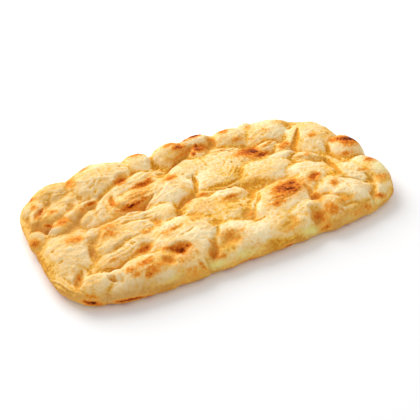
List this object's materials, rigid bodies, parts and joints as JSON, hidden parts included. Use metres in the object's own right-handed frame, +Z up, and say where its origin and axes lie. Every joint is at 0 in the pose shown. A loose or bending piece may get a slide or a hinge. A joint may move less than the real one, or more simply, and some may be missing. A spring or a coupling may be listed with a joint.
{
  "type": "naan bread",
  "caption": "Rectangular leavened flatbread slab with rounded corners, a blistered and dimpled top with scorched spots, and a flat base to rest on.",
  "frame": {"origin": "middle of the flat base, under the centre of the slab's box", "axes": "+X along the long side, +Y across the width towards the back edge, +Z up out of the blistered top"},
  "size_m": [0.25, 0.134, 0.022],
  "materials": {
    "baked_dough": "matt baked dough, pale cream with golden hollows and brown scorched spots"
  },
  "bodies": {
    "root": {"naan": "baked_dough"}
  },
  "joints": []
}
